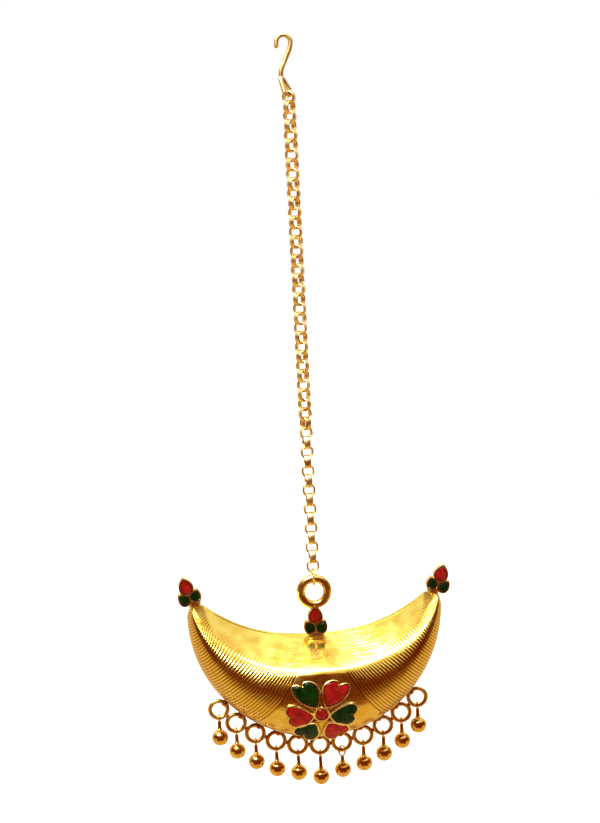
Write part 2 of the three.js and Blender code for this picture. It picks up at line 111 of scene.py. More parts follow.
def oval_ring(radius, stretch=0.0, steps=48):
    """Centre line of a ring standing in the XZ plane, drawn out along Z."""
    a = np.linspace(0, 2 * np.pi, steps, endpoint=False) + np.pi / steps
    z = radius * np.sin(a) + np.sign(np.sin(a)) * stretch / 2
    return np.stack([radius * np.cos(a), np.zeros(steps), z], -1)


def turned(points, about_x=0.0, about_y=0.0, about_z=0.0):
    """Points turned about X, then Y, then Z, in degrees."""
    m = (Matrix.Rotation(math.radians(about_z), 3, "Z") @ Matrix.Rotation(math.radians(about_y), 3, "Y")
         @ Matrix.Rotation(math.radians(about_x), 3, "X"))
    return np.asarray(points) @ np.array(m).T


def solid(name, parts, material, body, stands_for, crease=42.0):
    """One object from (points in mm, faces) parts. Edges sharper than crease stay crisp."""
    points, faces, start = [], [], 0
    for p, f in parts:
        points.append(np.asarray(p))
        faces += [tuple(int(v) + start for v in face) for face in f]
        start += len(p)
    mesh = bpy.data.meshes.new(name)
    mesh.from_pydata((np.vstack(points) * MM).tolist(), [], faces)
    mesh.validate()
    mesh.update()
    mesh.shade_smooth()
    mesh.set_sharp_from_angle(angle=math.radians(crease))
    mesh.materials.append(material)
    obj = bpy.data.objects.new(name, mesh)
    bpy.context.scene.collection.objects.link(obj)
    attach(obj, body)
    if stands_for:
        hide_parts(*stands_for)
    return obj


def colour(code):
    """An sRGB hex colour as linear RGBA."""
    parts = [int(code[i:i + 2], 16) / 255 for i in (1, 3, 5)]
    return [c / 12.92 if c <= 0.04045 else ((c + 0.055) / 1.055) ** 2.4 for c in parts] + [1.0]


def add_node(tree, kind, links=(), values=(), **settings):
    """Adds a node: settings are its properties, values its sockets, links (socket, from socket)."""
    node = tree.nodes.new(kind)
    for key, value in settings.items():
        setattr(node, key, value)
    for socket, value in dict(values).items():
        node.inputs[socket].default_value = value
    for socket, source in dict(links).items():
        tree.links.new(source, node.inputs[socket])
    return node


TONE_PATCH = 3.0
# brown painted into crevices as shade
PAINTED_SHADE_BROWN = "#7A3C10"


def gold_plate(name, light, deep, rough_low, rough_high, dent_mm, dent_height_mm,
               drawn_out=1.0, shade_in_crevices=0.75, crevice_mm=0.4):
    """Bright yellow gold plate on brass: full metal, soft polish, slight tone and polish changes.

    drawn_out stretches the dents along X; shade_in_crevices is how much brown painted shade an occlusion node mixes
    into crevices narrower than crevice_mm.
    """
    material = bpy.data.materials.new(name)
    material.use_nodes = True
    tree = material.node_tree
    shader = tree.nodes["Principled BSDF"]
    place = add_node(tree, "ShaderNodeTexCoord").outputs["Object"]
    patches = add_node(tree, "ShaderNodeTexNoise", {"Vector": place},
                       {"Scale": 1 / (TONE_PATCH * MM), "Detail": 3.0})
    tone = add_node(tree, "ShaderNodeValToRGB", {"Fac": patches.outputs["Fac"]})
    tone.color_ramp.elements[0].position, tone.color_ramp.elements[0].color = 0.35, colour(deep)
    tone.color_ramp.elements[1].position, tone.color_ramp.elements[1].color = 0.65, colour(light)
    # painted shade: ambient occlusion darkens the base colour towards brown in crevices, where shade falls
    crevice = add_node(tree, "ShaderNodeAmbientOcclusion", (), {"Distance": crevice_mm * MM}, samples=4)
    crevice_shade_amount = add_node(tree, "ShaderNodeMapRange", {"Value": crevice.outputs["AO"]},
                    {"From Min": 0.2, "From Max": 0.8, "To Min": shade_in_crevices, "To Max": 0.0})
    crevice_shaded_tone = add_node(tree, "ShaderNodeMix", {"Factor": crevice_shade_amount.outputs["Result"], 6: tone.outputs["Color"]},
                       {7: colour(PAINTED_SHADE_BROWN)}, data_type="RGBA")
    polish = add_node(tree, "ShaderNodeMapRange", {"Value": patches.outputs["Fac"]},
                      {"From Min": 0.3, "From Max": 0.7, "To Min": rough_low, "To Max": rough_high})
    drawn = add_node(tree, "ShaderNodeMapping", {"Vector": place}, {"Scale": (1 / drawn_out, 1.0, 1.0)})
    dents = add_node(tree, "ShaderNodeTexNoise", {"Vector": drawn.outputs["Vector"]},
                     {"Scale": 1 / (dent_mm * MM), "Detail": 2.0})
    bump = add_node(tree, "ShaderNodeBump", {"Height": dents.outputs["Fac"]},
                    {"Strength": 1.0, "Distance": dent_height_mm * MM})
    shader.inputs["Metallic"].default_value = 1.0
    tree.links.new(crevice_shaded_tone.outputs[2], shader.inputs["Base Color"])
    tree.links.new(polish.outputs["Result"], shader.inputs["Roughness"])
    tree.links.new(bump.outputs["Normal"], shader.inputs["Normal"])
    return material


# drawn wire keeps a fine polish: soft streaks of light, with some painted brown shade in its crevices
pale_wire = gold_plate("pale_gold_plated_wire", "#FFE6A2", "#F2CC7C", 0.34, 0.46, 0.6, 0.01, shade_in_crevices=0.5)
# the rings' wire is deeper in tone, with painted brown shade where it is joined and in its crevices
gold_wire = gold_plate("gold_plated_brass_wire", "#FFE08E", "#F6C870", 0.3, 0.42, 0.6, 0.01, shade_in_crevices=0.6)

crook_inside = CROOK_R - WIRE_HOOK / 2
crook_z = -math.sqrt(crook_inside ** 2 - CROOK_X ** 2)
crook = [(CROOK_X - CROOK_R - 0.03, 0, crook_z - 0.7)]
for step in range(7):
    a = math.pi * (1 - step / 6)
    crook.append((CROOK_X + CROOK_R * math.cos(a), 0, crook_z + CROOK_R * math.sin(a)))
crook += [(x, 0, z) for x, z in STEM_RUN]
eye = oval_ring(EYE_R, EYE_STRETCH) + (0, 0, EYE_R + EYE_STRETCH / 2)
eye[:, 0] *= EYE_SPREAD * (1 - EYE_TAPER * eye[:, 2] / eye[:, 2].max())
eye = turned(turned(eye, about_z=EYE_TURN), about_y=-EYE_LEAN) + EYE_BOTTOM
solid("hair_hook", [sweep(smooth_path(crook, 8), WIRE_HOOK / 2), sweep(eye, WIRE_HOOK / 2, closed=True)],
      pale_wire, "hook_and_chain", ["hook"])


# ---- Chain ----
# Fifty short links of flattened brass wire, each closed through the one above, hang the pendant. The run
# twists: below, the links stand face on and edge on by turns, above they lie 27 and 40 degrees off.

LINK_R, LINK_THICK, LINK_WIDE, LINK_STRETCH = 1.03, 0.42, 1.25, 0.2
FIT = 0.08
HINGE_Z = -101.27
BAIL_WIRE, END_R, END_WIRE = 1.6, 1.425, 0.45
LINK_COUNT = 50
UPPER_TURNS, LOWER_TURNS = (-27.0, 40.0), (-90.0, 0.0)
TWIST_FROM, TWIST_TO = 0.6, 0.78


def band_ring(radius, thick, wide, stretch, steps=32, sides=12):
    """A closed ring of flattened wire, standing in the XZ plane."""
    points, faces = [], []
    for i in range(steps):
        a = 2 * math.pi * (i + 0.5) / steps
        for j in range(sides):
            b = 2 * math.pi * j / sides
            r = radius + thick / 2 * math.copysign(abs(math.cos(b)) ** 0.8, math.cos(b))
            y = wide / 2 * math.copysign(abs(math.sin(b)) ** 0.8, math.sin(b))
            points.append((r * math.cos(a), y, r * math.sin(a) + math.copysign(stretch / 2, math.sin(a))))
            n, k = (i + 1) % steps, (j + 1) % sides
            faces.append((i * sides + j, n * sides + j, n * sides + k, i * sides + k))
    return np.array(points), faces


end_centre = HINGE_Z - BAIL_WIRE / 2 - FIT - END_WIRE / 2 + END_R
link_half = LINK_R + LINK_STRETCH / 2
low_link = end_centre + END_R - END_WIRE / 2 - FIT - LINK_THICK / 2 + link_half
high_link = EYE_BOTTOM[2] + WIRE_HOOK / 2 + FIT + LINK_THICK / 2 - link_half
links = []
for i in range(LINK_COUNT):
    along = i / (LINK_COUNT - 1)
    ease = min(max((along - TWIST_FROM) / (TWIST_TO - TWIST_FROM), 0), 1)
    turn = UPPER_TURNS[i % 2] + (LOWER_TURNS[i % 2] - UPPER_TURNS[i % 2]) * ease * ease * (3 - 2 * ease)
    turn += (7 * math.sin(i * 2.4) * (1 - 0.6 * ease)) if 0 < i < LINK_COUNT - 1 else 0.0
    points, faces = band_ring(LINK_R, LINK_THICK, LINK_WIDE, LINK_STRETCH)
    lean = 4 * math.sin(i * 1.7)
    points = turned(turned(points, about_y=lean), about_z=turn)
    links.append((points + (0, 0, high_link + (low_link - high_link) * along), faces))
# tumbled links: the same plate, with painted brown shade where they touch one another
gold_link = gold_plate("gold_plated_brass_links", "#FFE6A2", "#F2C878", 0.3, 0.42, 0.5, 0.01, shade_in_crevices=0.6)
solid("chain_links", links, gold_link, "hook_and_chain", ["chain"])


# ---- End link ----
# A wider ring of round wire joins the last chain link to the pendant's bail ring and stands edge on. Its ends
# are butted and closed, so the pendant can swing on it both ways.

end_ring = turned(oval_ring(END_R, 0, 56), about_z=90) + (0, 0, end_centre)
solid("end_ring", [sweep(end_ring, END_WIRE / 2, 14, True)], gold_wire, "end_link", ["end_link"])


# ---- Crescent ----
# The pendant's body is thin brass sheet raised to a hollow, puffed crescent. Its top face is lightly
# planished, its front is chased with rounded ribs on both horns, and its middle is left smooth.

HANG = 8.0
BAIL_R, BAIL_DEPTH = 2.53, 1.2
ARC_H, ARC_RX, ARC_RZ = 3.76, 24.1, 24.8
NOTCH_H, NOTCH_RISE, NOTCH_X, NOTCH_POW = 4.585, 7.0, 21.3, 2.5
HORN_END = 95.5
TIP_OUT, RIDGE_OUT = 2.2, 8.8
SHEET = 0.55
RIBS = 46
RIB_STEPS = 6
RIB_HEIGHT = 0.105
FIRST_RIB_FOOT, FIRST_RIB_RIDGE = 32.7, 26.5
SECTION_ROWS = 62


def on_pendant(x, d, h):
    """x across, d in front of the back plate, h below the bail ring's centre, to the hanging place."""
    c, s = math.cos(math.radians(HANG)), math.sin(math.radians(HANG))
    y, z = BAIL_DEPTH - np.asarray(d, float), -(np.asarray(h, float) + BAIL_R)
    return np.stack(np.broadcast_arrays(x, y * c - z * s, y * s + z * c + HINGE_Z), -1)


def inner_radius(angle):
    s, c = np.sin(np.abs(angle)), np.cos(angle)
    low, high = np.full(np.shape(angle), 3.0), np.full(np.shape(angle), 26.0)
    for _ in range(40):
        r = (low + high) / 2
        above = r * c - NOTCH_H + NOTCH_RISE * (r * s / NOTCH_X) ** NOTCH_POW > 0
        low, high = np.where(above, low, r), np.where(above, r, high)
    return low


def outer_radius(angle):
    return 1 / np.hypot(np.sin(angle) / ARC_RX, np.cos(angle) / ARC_RZ)


def ridge_across(angle):
    return 0.216 + 0.454 * (angle / math.radians(94.2)) ** 2


def section_at(angle, t):
    """Place across the crescent, 0 to 1, and height above its back, for t from 0 to 1."""
    angle, t = np.broadcast_arrays(np.asarray(angle, float), np.asarray(t, float))
    a = ridge_across(angle)
    out = TIP_OUT + RIDGE_OUT * np.maximum(1 - (angle / math.radians(97)) ** 2, 0) ** 0.8
    b, none, whole = 1 - a, np.zeros_like(a), np.ones_like(a)
    across = np.stack([none, none, none, 0.5 * a, 0.96 * a, a + 0.03 * b, a + 0.34 * b,
                       a + 0.68 * b, a + 0.93 * b, whole, whole, whole])
    height = np.stack([none, none, none, 0.55 * out, 1.03 * out, 1.06 * out, 1.19 * out,
                       1.03 * out, 0.55 * out, none, none, none])
    s = np.clip(t * 9, 0, 9 - 1e-9)
    i = s.astype(int)
    f = s - i
    weights = [(1 - f) ** 3 / 6, (3 * f ** 3 - 6 * f ** 2 + 4) / 6,
               (-3 * f ** 3 + 3 * f ** 2 + 3 * f + 1) / 6, f ** 3 / 6]
    return [sum(w * np.take_along_axis(v, (i + k)[None], 0)[0] for k, w in enumerate(weights))
            for v in (across, height)]


def crescent_point(angle, across, out):
    inner = inner_radius(angle)
    r = inner + (outer_radius(angle) - inner) * across
    return on_pendant(r * np.sin(angle), out, ARC_H + r * np.cos(angle))


RIDGE_BEND = 1.65
# the last tenth of the ribs closes each horn, down to this share of its width and depth
HORN_ROUNDS, HORN_TIP = 0.9, 0.3


def horn_close(place):
    """The horn's share of its full width and depth, where its last few ribs round it off."""
    closing = np.sqrt(1 - np.clip((place - HORN_ROUNDS) / (1 - HORN_ROUNDS), 0, 1) ** 2)
    return HORN_TIP + (1 - HORN_TIP) * closing


def smoothstep(v, low, high):
    f = np.clip((v - low) / (high - low), 0, 1)
    return f * f * (3 - 2 * f)


# columns follow the ribs: rib place u runs from 0 at the innermost rib to 1 at the horn's end
horn = np.arange(RIBS * RIB_STEPS + 1) / (RIBS * RIB_STEPS)
middle = np.linspace(-1, 1, 61)[1:-1]
rib_place = np.concatenate([horn[::-1], np.zeros(len(middle)), horn])
side = np.concatenate([-np.ones(len(horn)), middle, np.ones(len(horn))])
foot_turn = FIRST_RIB_FOOT + (HORN_END - FIRST_RIB_FOOT) * rib_place
foot_angle = side * np.where(np.abs(side) < 1, FIRST_RIB_FOOT, foot_turn)
ridge_turn = FIRST_RIB_RIDGE + (HORN_END - FIRST_RIB_RIDGE) * (1 - (1 - rib_place) ** RIDGE_BEND)
ridge_angle = side * np.where(np.abs(side) < 1, FIRST_RIB_RIDGE, ridge_turn)
foot_angle, ridge_angle = np.radians(foot_angle)[:, None], np.radians(ridge_angle)[:, None]
t_rows = np.linspace(0, 1, SECTION_ROWS)[None]
angle = foot_angle + 0 * t_rows
for _ in range(12):
    across, out = section_at(angle, t_rows + 0 * angle)
    toward = (1 - across) / (1 - ridge_across(angle))
    toward = np.where(toward > 1, 1 + 0.25 * (1 - np.exp(-(toward - 1) / 0.25)), toward)
    angle = foot_angle + (ridge_angle - foot_angle) * toward
closing = horn_close(rib_place)[:, None]
skin = crescent_point(angle, 0.5 + (across - 0.5) * closing, out * closing)
normal = unit(np.cross(np.gradient(skin, axis=0), np.gradient(skin, axis=1)))
normal *= np.sign(np.sum(normal * (skin - skin.mean((0, 1))), -1, keepdims=True).mean())

above_ridge = across / ridge_across(angle)
u = rib_place[:, None]
rib_top = 0.8 - 0.85 * smoothstep(u, 0.6, 1.0)
fade = smoothstep(above_ridge, rib_top, rib_top + 0.14)
fade = fade * smoothstep(1 - across, 0.0, 0.03) * smoothstep(above_ridge, 0.0, 0.12)
fade = fade * np.where(np.abs(side) < 1, 0.0, 1.0)[:, None]
fade = fade * (1 - 0.6 * np.exp(-((above_ridge - 1) / 0.15) ** 2))
phase = np.abs(np.sin(np.pi * RIBS * u))
rib = fade * (phase ** 0.75 - 0.6) * RIB_HEIGHT
along_top = angle * 14.0
planish = np.sin(along_top * 1.9 + 3 * across) * np.sin(along_top * 0.7 - 9 * across) * 0.01
planish = planish * (1 - smoothstep(above_ridge, 0.7, 1.0)) * smoothstep(above_ridge, 0.05, 0.3)
skin = skin + normal * (rib + planish)[..., None]
# painted shade: darker in the rib valleys and along the lower edge behind the rings, where shade falls
groove_and_edge_shade = fade * (1 - phase) ** 1.5
groove_and_edge_shade = groove_and_edge_shade + 0.85 * smoothstep(across, 0.88, 0.98) * (1 - smoothstep(np.abs(angle), 0.85, 0.95))

columns, rows = skin.shape[:2]
skin_faces = [(i * rows + j, i * rows + j + 1, (i + 1) * rows + j + 1, (i + 1) * rows + j)
              for i in range(columns - 1) for j in range(rows - 1)]
skin_points = list(skin.reshape(-1, 3))
for column, flip in ((0, False), (columns - 1, True)):
    hub = len(skin_points)
    skin_points.append(skin[column].mean(0))
    for j in range(rows - 1):
        tri = (hub, column * rows + j, column * rows + j + 1)
        skin_faces.append(tri[::-1] if flip else tri)
    skin_faces.append((hub, column * rows, column * rows + rows - 1)[::-1 if not flip else 1])

# struck and polished sheet: bright top with drawn-out planishing marks; painted brown shade in the chased grooves,
# along the lower edge behind the rings and in crevices
gold_sheet = gold_plate("gold_plated_brass_sheet", "#F8DA6C", "#EEC650", 0.14, 0.24, 0.7, 0.045, 4.0, 0.8, 0.7)
sheet_tree = gold_sheet.node_tree
sheet_shader = sheet_tree.nodes["Principled BSDF"]
sheet_tone = sheet_shader.inputs["Base Color"].links[0].from_socket
# painted shade from the mesh attribute, mixed towards brown #9A5A16
sheet_painted_shade = add_node(sheet_tree, "ShaderNodeAttribute", attribute_name="groove_and_edge_shade").outputs["Fac"]
sheet_shaded_tone = add_node(sheet_tree, "ShaderNodeMix", {"Factor": sheet_painted_shade, 6: sheet_tone},
                     {7: colour("#9A5A16")}, data_type="RGBA")
sheet_tree.links.new(sheet_shaded_tone.outputs[2], sheet_shader.inputs["Base Color"])

skin_object = solid("crescent_skin", [(np.array(skin_points), skin_faces)], gold_sheet, "pendant",
                    ["crescent_body"], crease=60.0)
painted_shade_layer = skin_object.data.attributes.new("groove_and_edge_shade", "FLOAT", "POINT")
painted_shade_layer.data.foreach_set("value", np.concatenate([groove_and_edge_shade.reshape(-1), [0, 0]]).astype(np.float32))
thick = skin_object.modifiers.new("sheet", "SOLIDIFY")
thick.thickness = SHEET * MM
thick.offset = -1.0


# ---- Back plate ----
# A flat brass sheet closes the crescent's back and lies against the forehead. It has six round vents,
# which let gas out while it is soldered round its edge.

BACK_INSET = 0.3
VENTS = (-66, -44, -22, 22, 44, 66)
VENT_D = 2.4
back_angle = np.radians(np.linspace(-HORN_END + 0.2, HORN_END - 0.2, 121))
back_points, back_faces = [], []
for a in back_angle:
    width = outer_radius(a) - inner_radius(a)
    for place, deep in ((0, 0.02), (1, 0.02), (1, SHEET), (0, SHEET)):
        inset = BACK_INSET / width
        rib = (abs(math.degrees(a)) - FIRST_RIB_FOOT) / (HORN_END - FIRST_RIB_FOOT)
        across = inset + (1 - 2 * inset) * place
        back_points.append(crescent_point(a, 0.5 + (across - 0.5) * float(horn_close(rib)), deep))
for i in range(len(back_angle) - 1):
    for j in range(4):
        k = (j + 1) % 4
        back_faces.append((i * 4 + j, i * 4 + k, i * 4 + 4 + k, i * 4 + 4 + j))
last = 4 * (len(back_angle) - 1)
back_faces += [(3, 2, 1, 0), (last, last + 1, last + 2, last + 3)]
back_object = solid("back_plate", [(np.array(back_points), back_faces)], gold_sheet, "pendant",
                    ["crescent_body"], crease=30.0)
cutter_parts = []
for degrees in VENTS:
    spots = [crescent_point(math.radians(degrees), 0.5, deep) for deep in (-1.0, 2.0)]
    cutter_parts.append(sweep(np.array(spots), VENT_D / 2, 32))
cutter_mesh = bpy.data.meshes.new("vent_cutter")
cutter_points, cutter_faces, start = [], [], 0
for p, f in cutter_parts:
    cutter_points.append(p)
    cutter_faces += [tuple(v + start for v in face) for face in f]
    start += len(p)
cutter_mesh.from_pydata((np.vstack(cutter_points) * MM).tolist(), [], cutter_faces)
cutter = bpy.data.objects.new("vent_cutter", cutter_mesh)
bpy.context.scene.collection.objects.link(cutter)
cut = back_object.modifiers.new("vents", "BOOLEAN")
cut.operation, cut.solver, cut.object = "DIFFERENCE", "EXACT", cutter
graph = bpy.context.evaluated_depsgraph_get()
vented = bpy.data.meshes.new_from_object(back_object.evaluated_get(graph))
back_object.modifiers.clear()
back_object.data = vented
bpy.data.objects.remove(cutter)


# ---- Bail ring ----
# A thick cast ring, soldered upright on the crown setting, takes the end link. It is round in section and
# highly polished.

bail_at = on_pendant(0, BAIL_DEPTH, 0)
bail_path = turned(oval_ring(BAIL_R, 0, 80), about_x=HANG) + bail_at
# cast and buffed: an even soft shine with little grain
gold_cast = gold_plate("gold_plated_cast_brass", "#FADC80", "#EEC060", 0.2, 0.3, 0.9, 0.02, shade_in_crevices=0.35)
solid("bail_ring", [sweep(bail_path, BAIL_WIRE / 2, 28, True)], gold_cast, "pendant", ["crescent_body"])


# ---- Edge rings ----
# Eleven closed wire rings are soldered side by side along the crescent's lower edge, each touching its
# neighbours through a small bead of solder. The fringe hangs from them.

RING_COUNT, RING_STEP = 11, 9.25
RING_R, RING_WIRE, RING_DEPTH = 1.66, 0.86, 0.35
RING_RX, RING_RZ = 26.2, 26.7
EDGE_BEAD, EDGE_BEAD_FLAT, EDGE_BEAD_DEPTH = 0.66, 0.7, 0.42
SIDE_BEAD, SIDE_BEAD_FLAT = 0.4, 0.85


def ring_place(i):
    a = math.radians(RING_STEP) * (i - (RING_COUNT - 1) / 2)
    return RING_RX * math.sin(a), ARC_H + RING_RZ * math.cos(a)


def bead(centre, radius, flatten=1.0, around=14, up=8):
    points = [centre + np.array((0, 0, radius))]
    for i in range(1, up):
        a = math.pi * i / up
        for j in range(around):
            b = 2 * math.pi * j / around
            points.append(centre + radius * np.array((math.sin(a) * math.cos(b),
                                                      math.sin(a) * math.sin(b) * flatten, math.cos(a))))
    points.append(centre - np.array((0, 0, radius)))
    faces = []
    for j in range(around):
        k = (j + 1) % around
        faces.append((0, 1 + j, 1 + k))
        for i in range(up - 2):
            row, lower = 1 + i * around, 1 + (i + 1) * around
            faces.append((row + j, lower + j, lower + k, row + k))
        base = 1 + (up - 2) * around
        faces.append((base + j, len(points) - 1, base + k))
    return np.array(points), faces


ring_parts, solder_beads = [], []
for i in range(RING_COUNT):
    x, h = ring_place(i)
    wobble = 1 + 0.015 * math.sin(i * 2.1)
    ring = turned(oval_ring(RING_R * wobble, 0, 44), about_x=HANG) + on_pendant(x, RING_DEPTH, h)
    ring_parts.append(sweep(ring, RING_WIRE / 2, 12, True))
    outward = np.array((x, h - ARC_H)) / math.hypot(x, h - ARC_H)
    joint = on_pendant(x - outward[0] * RING_R, EDGE_BEAD_DEPTH, h - outward[1] * RING_R)
    solder_beads.append(bead(joint, EDGE_BEAD, EDGE_BEAD_FLAT))
    if i + 1 < RING_COUNT:
        x2, h2 = ring_place(i + 1)
        between = on_pendant((x + x2) / 2, RING_DEPTH + 0.02, (h + h2) / 2)
        solder_beads.append(bead(between, SIDE_BEAD, SIDE_BEAD_FLAT))
solid("edge_rings", ring_parts, gold_wire, "pendant", ["crescent_body"])
# brass solder shows orange-brown where the plating is thin over it
gold_solder = gold_plate("gold_plated_brass_solder", "#F0A650", "#C8782E", 0.3, 0.42, 0.5, 0.02)
solid("edge_ring_solder", solder_beads, gold_solder, "pendant", ["crescent_body"])


# ---- Enamel flower ----
# Six heart cups and a round one are soldered to the crescent's front as a flower and bent to its curve.
# Each is filled with glossy enamel that stands a little proud of its thin gold rim.

PLAY, BEZEL = 0.1, 0.36
FLOWER_T = 0.605
FLOWER_X = -0.35
HEART_L, HEART_W = 4.6, 4.15
CENTRE_R = 1.08
HEARTS = [
    ("green_heart_upper_left", 32, 4.4, 1.06),
    ("red_heart_upper_right", -32, 4.4, 1.06),
    ("green_heart_right", -103, 4.1, 1.0),
    ("red_heart_lower_right", -151, 4.95, 1.0),
    ("green_heart_lower_left", 151, 4.95, 1.0),
    ("red_heart_left", 103, 4.1, 1.0),
]
OUTLINE_STEPS = 72
# below this height the two lowest cups run straight down instead of curling under the crescent
FLOWER_FLAT = -3.4


def front_place(u, v, t_per_mm):
    t = FLOWER_T - v * t_per_mm
    across, _ = section_at(np.zeros_like(t), t)
    inner = inner_radius(np.zeros_like(t))
    r = inner + (outer_radius(np.zeros_like(t)) - inner) * across
    angle = u / r
    across, out = section_at(angle, t)
    return crescent_point(angle, across, out)


span = front_place(np.zeros(2), np.array((0.0, 0.0)), 0.0)
near = [crescent_point(np.zeros(1), *section_at(np.zeros(1), np.array([FLOWER_T + d])))[0] for d in (0.05, -0.05)]
T_PER_MM = 0.1 / np.linalg.norm(near[0] - near[1])


def front_lay(u, v, z):
    """u across, v up and z off the metal, on the crescent's front round the flower's centre."""
    u, v = np.asarray(u, float) + FLOWER_X, np.asarray(v, float)
    held = np.maximum(v, FLOWER_FLAT)
    p = front_place(u, held, T_PER_MM)
    du = front_place(u + 1e-3, held, T_PER_MM) - p
    dv = front_place(u, held + 1e-3, T_PER_MM) - p
    straight = unit(dv) * (v - held)[..., None]
    return p + straight + unit(np.cross(du, dv)) * np.asarray(z)[..., None]


def heart_outline(scale, steps=OUTLINE_STEPS):
    t = 2 * np.pi * (np.arange(steps) + 0.5) / steps
    blunt = np.where(np.cos(t) > 0, 3.0, 1.5)
    x = np.sign(np.sin(t)) * np.abs(np.sin(t)) ** blunt * scale * HEART_W / 2
    y = (13 * np.cos(t) - 5 * np.cos(2 * t) - 2 * np.cos(3 * t) - np.cos(4 * t) + 2.5) * scale * HEART_L / 29
    return np.stack([x, y], -1)


def round_outline(radius, steps=48):
    t = 2 * np.pi * np.arange(steps) / steps
    return np.stack([radius * np.sin(t), radius * np.cos(t)], -1)


def grown(outline, by):
    """The outline moved out by so many millimetres, seen from its centre."""
    return outline * (1 + by / np.linalg.norm(outline, axis=1, keepdims=True))


def stack(levels, lay):
    """A closed body through outlines at heights: levels are (outline, height), first the foot."""
    n = len(levels[0][0])
    points = [lay(o[:, 0], o[:, 1], np.full(n, float(z))) for o, z in levels]
    ends = [lay(np.zeros(1), np.zeros(1), np.full(1, float(levels[i][1]))) for i in (0, -1)]
    faces = []
    for i in range(len(levels) - 1):
        for j in range(n):
            k = (j + 1) % n
            faces.append((i * n + j, (i + 1) * n + j, (i + 1) * n + k, i * n + k))
    foot, top = n * len(levels), n * len(levels) + 1
    for j in range(n):
        k = (j + 1) % n
        faces.append((foot, j, k))
        faces.append((top, (len(levels) - 1) * n + k, (len(levels) - 1) * n + j))
    return np.vstack(points + ends), faces


def cup(outline, gap, wall, foot, rim, floor, lay):
    """A thin-walled setting with a rounded rim, open above its floor."""
    far, near_side, mid = gap + wall, gap, gap + wall / 2
    low = wall * 0.45
    levels = [(grown(outline, far), foot), (grown(outline, far), rim - low),
              (grown(outline, far - 0.15 * wall), rim - 0.12 * wall), (grown(outline, mid), rim),
              (grown(outline, near_side + 0.15 * wall), rim - 0.12 * wall), (grown(outline, near_side), rim - low),
              (grown(outline, near_side), floor), (outline * 0.6, floor), (outline * 0.25, floor)]
    return stack(levels, lay)


def enamel_fill(outline, foot, rim, crown, lay):
    """A glassy fill: a tight rounded edge, then a low dome."""
    levels = [(outline * 0.6, foot), (outline, foot), (outline, rim - 0.1), (grown(outline, -0.03), rim - 0.03),
              (grown(outline, -0.1), rim + 0.02)]
    for s in (0.86, 0.74, 0.6, 0.45, 0.3, 0.15):
        levels.append((outline * s, rim + 0.02 + (crown - rim - 0.02) * (1 - s * s) ** 0.8))
    return stack(levels, lay)


def turned_lay(lay, turn, reach):
    c, s = math.cos(math.radians(turn)), math.sin(math.radians(turn))
    return lambda x, y, z: lay(x * c - (y + reach) * s, x * s + (y + reach) * c, z)


def vitreous_enamel(name, light, deep, cloud_mm):
    """Fired glass enamel: deep even colour with faint clouds, a clear wet gloss and small ripples."""
    material = bpy.data.materials.new(name)
    material.use_nodes = True
    tree = material.node_tree
    shader = tree.nodes["Principled BSDF"]
    place = add_node(tree, "ShaderNodeTexCoord").outputs["Object"]
    clouds = add_node(tree, "ShaderNodeTexNoise", {"Vector": place}, {"Scale": 1 / (cloud_mm * MM), "Detail": 4.0})
    tone = add_node(tree, "ShaderNodeValToRGB", {"Fac": clouds.outputs["Fac"]})
    tone.color_ramp.elements[0].position, tone.color_ramp.elements[0].color = 0.36, colour(deep)
    tone.color_ramp.elements[1].position, tone.color_ramp.elements[1].color = 0.66, colour(light)
    ripples = add_node(tree, "ShaderNodeTexNoise", {"Vector": place}, {"Scale": 1 / (0.9 * MM), "Detail": 1.0})
    bump = add_node(tree, "ShaderNodeBump", {"Height": ripples.outputs["Fac"]},
                    {"Strength": 1.0, "Distance": 0.06 * MM})
    shader.inputs["Roughness"].default_value = 0.12
    shader.inputs["IOR"].default_value = 1.4
    shader.inputs["Specular IOR Level"].default_value = 0.14
    tree.links.new(tone.outputs["Color"], shader.inputs["Base Color"])
    tree.links.new(bump.outputs["Normal"], shader.inputs["Normal"])
    return material


red_enamel = vitreous_enamel("red_vitreous_enamel", "#760E09", "#580805", 1.2)
green_enamel = vitreous_enamel("green_vitreous_enamel", "#0B1D02", "#050E01", 1.2)

flower_cups = []
for name, turn, reach, scale in HEARTS:
    lay = turned_lay(front_lay, turn, reach)
    cup_foot = -1.3 if abs(turn) > 120 else -0.4
    flower_cups.append(cup(heart_outline(scale), PLAY, BEZEL, cup_foot, 0.62, 0.12, lay))
    fill = enamel_fill(heart_outline(scale), 0.22, 0.55, 0.8, lay)
    green = name.startswith("green")
    solid(name + "_fill", [fill], green_enamel if green else red_enamel, "pendant",
          [name], crease=70.0)
flower_cups.append(cup(round_outline(CENTRE_R), PLAY, BEZEL, -0.4, 0.7, 0.12, front_lay))
centre_fill = enamel_fill(round_outline(CENTRE_R), 0.22, 0.6, 0.98, front_lay)
solid("flower_centre_fill", [centre_fill], red_enamel, "pendant", ["flower_centre_stone"], crease=70.0)
# thin cup walls in a paler gold than the rest, a painted highlight so their rims read bright, with little painted
# crevice shade
gold_painted_pale = gold_plate("gold_plated_cups_painted_pale", "#FFF0B4", "#FBDC8C", 0.2, 0.3, 0.9, 0.01, shade_in_crevices=0.2)
solid("flower_cups", flower_cups, gold_painted_pale, "pendant", ["crescent_body"])


# ---- Drop settings ----
# A red drop over two green ones, in three joined cups on a thick plate, crowns the crescent under the bail
# ring and closes each horn. They are cast, plated, filled with enamel and soldered on.

CROWN_H, CROWN_BACK = 5.6, 0.8
TIP_X, TIP_H, TIP_LEAN, TIP_BACK, LEFT_TIP_RISE = 23.8, -1.0, 17.0, 0.5, 0.4
PLATE, RIM, SMALL_BEZEL = 1.0, 0.5, 0.3
